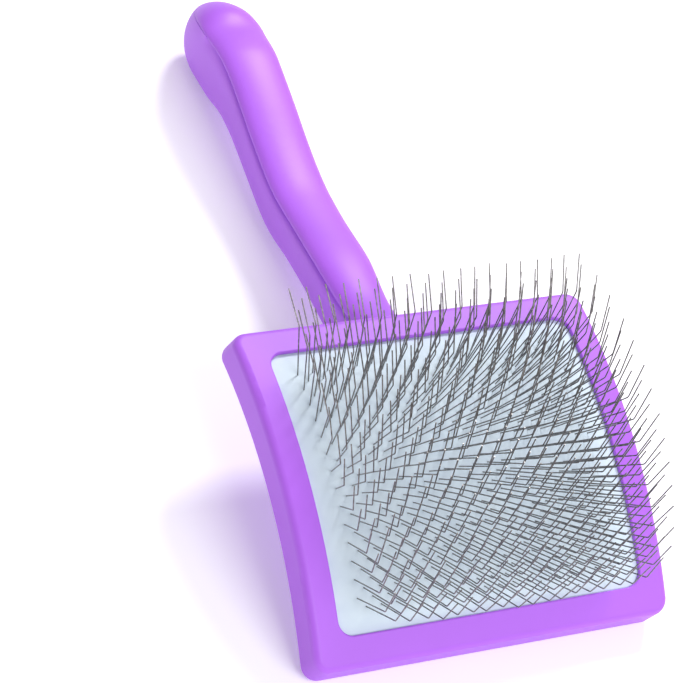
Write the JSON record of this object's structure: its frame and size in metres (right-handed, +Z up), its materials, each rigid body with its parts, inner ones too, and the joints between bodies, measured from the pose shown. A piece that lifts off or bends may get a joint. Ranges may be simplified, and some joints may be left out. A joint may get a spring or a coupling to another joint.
{
  "type": "slicker brush",
  "caption": "Large slicker brush with a curved head, a cushioned pad full of long bent wire pins, and a curved handle with a rounded end.",
  "frame": {"origin": "under the middle of the bounding box, on the surface the brush lies on", "axes": "+Z up, out of the pins' side, with the brush lying on its back; +Y along the brush from the head to the end of the handle; +X across the head"},
  "size_m": [0.122, 0.2714, 0.0776],
  "materials": {
    "purple_shell": "satin moulded plastic",
    "purple_handle": "satin moulded plastic",
    "purple_grip": "satin moulded plastic",
    "board": "plain",
    "foam": "open foam",
    "pad_skin": "smooth, slightly soft",
    "pin_steel": "drawn wire"
  },
  "bodies": {
    "brush": {"head_frame": "purple_shell", "head_back_shell": "purple_shell", "handle_core": "purple_handle", "handle_front_grip": "purple_grip", "pad_backing_board": "board", "pad_foam": "foam"},
    "pin_pad": {"pad_sheet": "pad_skin", "pin_row_01": "pin_steel", "pin_row_02": "pin_steel", "pin_row_03": "pin_steel", "pin_row_04": "pin_steel", "pin_row_05": "pin_steel", "pin_row_06": "pin_steel", "pin_row_07": "pin_steel", "pin_row_08": "pin_steel", "pin_row_09": "pin_steel", "pin_row_10": "pin_steel", "pin_row_11": "pin_steel", "pin_row_12": "pin_steel", "pin_row_13": "pin_steel", "pin_row_14": "pin_steel", "pin_row_15": "pin_steel", "pin_row_16": "pin_steel", "pin_row_17": "pin_steel", "pin_row_18": "pin_steel", "pin_row_19": "pin_steel", "pin_row_20": "pin_steel", "pin_row_21": "pin_steel", "pin_row_22": "pin_steel", "pin_row_23": "pin_steel", "pin_row_24": "pin_steel", "pin_row_25": "pin_steel", "pin_row_26": "pin_steel", "pin_row_27": "pin_steel", "pin_row_28": "pin_steel"}
  },
  "joints": [
    {"name": "pad_press", "type": "slide", "parent": "brush", "child": "pin_pad", "axis": [0, 0.3428, -0.9394], "range_m": [0, 0.002], "stiffness_N_per_m": 7500, "deforming": ["pad_foam"]}
  ]
}
